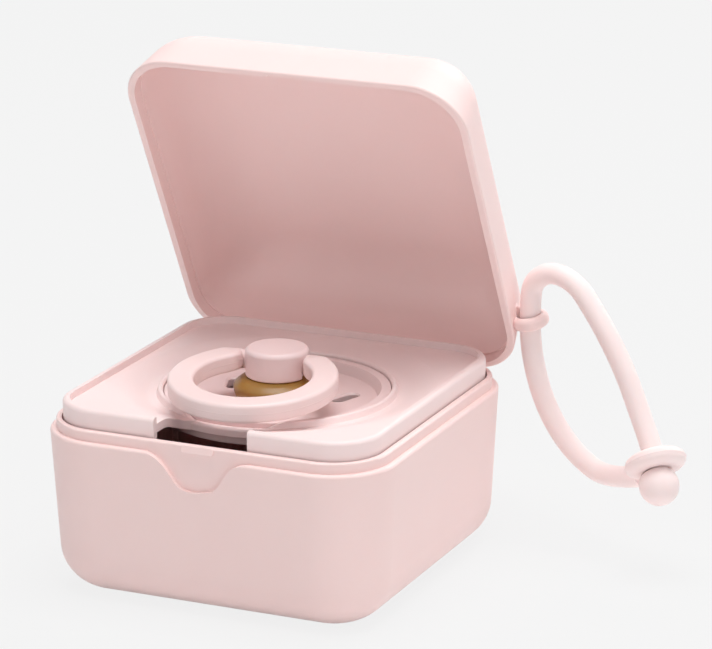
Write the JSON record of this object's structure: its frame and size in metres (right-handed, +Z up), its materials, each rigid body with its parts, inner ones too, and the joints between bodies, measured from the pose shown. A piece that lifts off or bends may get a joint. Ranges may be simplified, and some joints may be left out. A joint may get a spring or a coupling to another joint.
{
  "type": "pacifier sterilizer case",
  "caption": "Rounded square soother steriliser box standing open, with a lift-out steam tray holding a ring-handled soother and a hanging strap on the lid.",
  "frame": {"origin": "middle of the flat underside", "axes": "+X to the right seen from the catch side, +Y to the back (hinge), +Z up"},
  "size_m": [0.1171, 0.0889, 0.104],
  "materials": {
    "case": "satin moulded polypropylene",
    "tray": "satin moulded polypropylene",
    "strap": "matte silicone",
    "soother": "smooth moulded plastic",
    "latex": "amber natural latex"
  },
  "bodies": {
    "base": {"base_shell": "case", "hinge_pin": "case"},
    "lid": {"lid_shell": "case"},
    "tray": {"steam_tray": "tray"},
    "pacifier": {"pacifier_shield": "soother", "pacifier_nipple": "latex", "pacifier_knob": "soother"},
    "ring": {"pacifier_ring": "soother"},
    "strap": {"strap_cord": "strap", "strap_eye": "strap", "strap_ball": "strap"}
  },
  "joints": [
    {"name": "lid_hinge", "type": "hinge", "parent": "base", "child": "lid", "pos_m": [0, 0.0382, 0.0327], "axis": [-1, 0, 0], "range_deg": [-63.16, 41.8]},
    {"name": "tray_lift", "type": "slide", "parent": "base", "child": "tray", "axis": [0, 0, 1], "range_m": [0, 0.01]},
    {"name": "pacifier_lift", "type": "slide", "parent": "tray", "child": "pacifier", "axis": [0, 0, 1], "range_m": [0, 0.03]},
    {"name": "ring_swing", "type": "hinge", "parent": "pacifier", "child": "ring", "pos_m": [0, 0, 0.0426], "axis": [0.9945, 0.1045, 0], "range_deg": [-176, 0]},
    {"name": "strap_swivel", "type": "hinge", "parent": "lid", "child": "strap", "pos_m": [0.0401, 0.0373, 0.0458], "axis": [0.1479, 0.1439, -0.9785], "range_deg": [-75, 40]}
  ]
}
